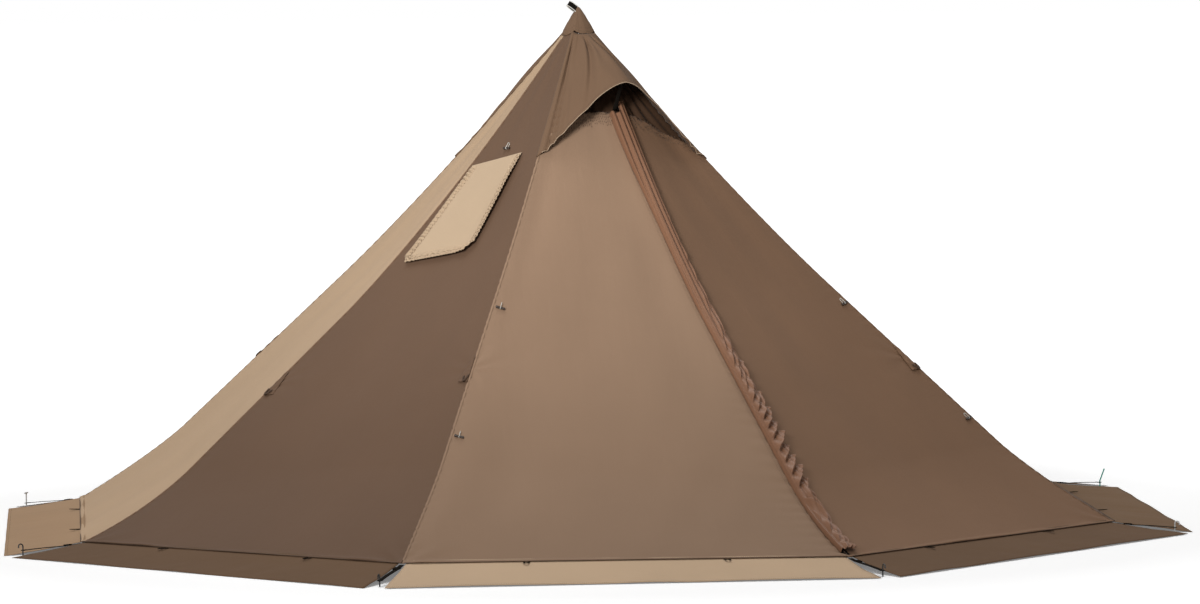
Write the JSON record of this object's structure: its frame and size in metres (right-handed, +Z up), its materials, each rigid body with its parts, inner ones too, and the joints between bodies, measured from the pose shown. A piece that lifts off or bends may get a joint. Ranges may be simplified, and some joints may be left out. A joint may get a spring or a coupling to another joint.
{
  "type": "hot tent",
  "caption": "Eight-sided single-pole hot tent with snow skirts, a zipped ridge door, hooded vents and a stove-pipe opening under a rain flap.",
  "frame": {"origin": "on the ground under the pole, at the middle of the tent's plan", "axes": "+Z is up along the pole, -Y faces the front panel, +X is to the right when seen from the front"},
  "size_m": [5.0875, 5.0876, 2.2868],
  "materials": {
    "tan_cloth": "matt tan coated polycotton",
    "brown_cloth": "matt brown coated polycotton",
    "light_cloth": "matt light tan skirt cloth",
    "dark_net": "near-black insect netting",
    "black_webbing": "woven black webbing",
    "black_plastic": "matt black moulded plastic",
    "dark_wood": "dark brown toggles",
    "heat_cloth": "grey silicone-coated glass cloth",
    "steel": "black painted steel",
    "pole_metal": "plain grey tube",
    "rubber": "matt black rubber"
  },
  "bodies": {
    "tent": {"apex_cap": "brown_cloth", "corner_peg_0": "steel", "corner_peg_1": "steel", "corner_peg_2": "steel", "corner_peg_3": "steel", "corner_peg_4": "steel", "corner_peg_5": "steel", "corner_peg_6": "steel", "corner_peg_7": "steel", "corner_strap_0": "black_webbing", "corner_strap_1": "black_webbing", "corner_strap_2": "black_webbing", "corner_strap_3": "black_webbing", "corner_strap_4": "black_webbing", "corner_strap_5": "black_webbing", "corner_strap_6": "black_webbing", "corner_strap_7": "black_webbing", "front_left_panel": "tan_cloth", "front_right_panel": "brown_cloth", "front_vent_hood": "tan_cloth", "front_vent_net": "dark_net", "hang_loop": "black_webbing", "left_panel": "light_cloth", "left_skirt": "light_cloth", "pole_foot": "rubber", "pole_lower": "pole_metal", "pole_middle": "pole_metal", "pole_tip": "black_plastic", "pole_upper": "pole_metal", "rear_left_panel": "tan_cloth", "rear_left_skirt": "light_cloth", "rear_right_panel": "brown_cloth", "rear_right_skirt": "light_cloth", "rear_side_panel": "brown_cloth", "rear_side_skirt": "light_cloth", "rear_vent_hood": "tan_cloth", "rear_vent_net": "dark_net", "right_panel": "light_cloth", "right_skirt": "light_cloth", "stove_jack": "heat_cloth", "stove_panel": "brown_cloth", "stove_skirt": "light_cloth"},
    "left_leaf": {"left_door": "tan_cloth", "left_zip_tape": "black_webbing", "left_door_skirt": "light_cloth", "storm_flap": "tan_cloth"},
    "right_leaf": {"right_door": "brown_cloth", "right_zip_tape": "black_webbing", "right_door_skirt": "light_cloth"},
    "slider": {"zip_slider": "black_plastic"},
    "pull": {"zip_pull": "black_plastic"},
    "front_strut": {"front_vent_strut": "black_webbing"},
    "rear_strut": {"rear_vent_strut": "black_webbing"},
    "stove_flap": {"stove_flap": "light_cloth"},
    "left_upper_toggle": {"left_upper_toggle": "dark_wood"},
    "left_lower_toggle": {"left_lower_toggle": "dark_wood"},
    "right_upper_toggle": {"right_upper_toggle": "dark_wood"},
    "right_lower_toggle": {"right_lower_toggle": "dark_wood"},
    "stove_flap_toggle": {"stove_flap_toggle": "dark_wood"}
  },
  "joints": [
    {"name": "left_door_hinge", "type": "hinge", "parent": "tent", "child": "left_leaf", "pos_m": [0.0897, -0.32149, 1.81265], "axis": [-0.3497, -0.6883, -0.6356], "range_deg": [0, 100], "deforming": ["left_door_skirt"]},
    {"name": "right_door_hinge", "type": "hinge", "parent": "tent", "child": "right_leaf", "pos_m": [0.1639, -0.29076, 1.80844], "axis": [-0.731, 0.2385, 0.6394], "range_deg": [0, 100], "deforming": ["right_door_skirt", "storm_flap"]},
    {"name": "zip_slide", "type": "slide", "parent": "left_leaf", "child": "slider", "axis": [-0.2916, 0.7041, 0.6475], "range_m": [0, 0.66], "deforming": ["storm_flap"]},
    {"name": "zip_pull_hinge", "type": "hinge", "parent": "slider", "child": "pull", "pos_m": [0.68697, -1.67077, 0.41846], "axis": [-0.9239, -0.3827, 0], "range_deg": [0, 150], "deforming": ["storm_flap"]},
    {"name": "front_strut_hinge", "type": "hinge", "parent": "tent", "child": "front_strut", "pos_m": [0.12958, -0.31257, 1.82269], "axis": [-0.9239, -0.3827, 0], "range_deg": [0, 50]},
    {"name": "rear_strut_hinge", "type": "hinge", "parent": "tent", "child": "rear_strut", "pos_m": [-0.12943, 0.31256, 1.85702], "axis": [0.9239, 0.3827, 0], "range_deg": [0, 50]},
    {"name": "stove_flap_hinge", "type": "hinge", "parent": "tent", "child": "stove_flap", "pos_m": [-0.48202, -0.2247, 1.59154], "axis": [-0.704, 0.6755, -0.2191], "range_deg": [0, 140]},
    {"name": "left_upper_toggle_hinge", "type": "hinge", "parent": "tent", "child": "left_upper_toggle", "pos_m": [-0.42474, -1.11152, 1.04669], "axis": [-0.9537, 0.0845, 0.2885], "range_deg": [0, 130]},
    {"name": "left_lower_toggle_hinge", "type": "hinge", "parent": "tent", "child": "left_lower_toggle", "pos_m": [-0.63638, -1.6225, 0.54956], "axis": [-0.9598, 0.1384, 0.2442], "range_deg": [0, 130]},
    {"name": "right_upper_toggle_hinge", "type": "hinge", "parent": "tent", "child": "right_upper_toggle", "pos_m": [1.08643, -0.48545, 0.99785], "axis": [-0.5969, -0.7585, -0.2616], "range_deg": [0, 130]},
    {"name": "right_lower_toggle_hinge", "type": "hinge", "parent": "tent", "child": "right_lower_toggle", "pos_m": [1.59734, -0.69717, 0.50566], "axis": [-0.5677, -0.7912, -0.2272], "range_deg": [0, 130]},
    {"name": "stove_flap_toggle_hinge", "type": "hinge", "parent": "tent", "child": "stove_flap_toggle", "pos_m": [-0.3283, -0.2985, 1.68702], "axis": [-0.6099, 0.7897, -0.0662], "range_deg": [0, 130]}
  ]
}
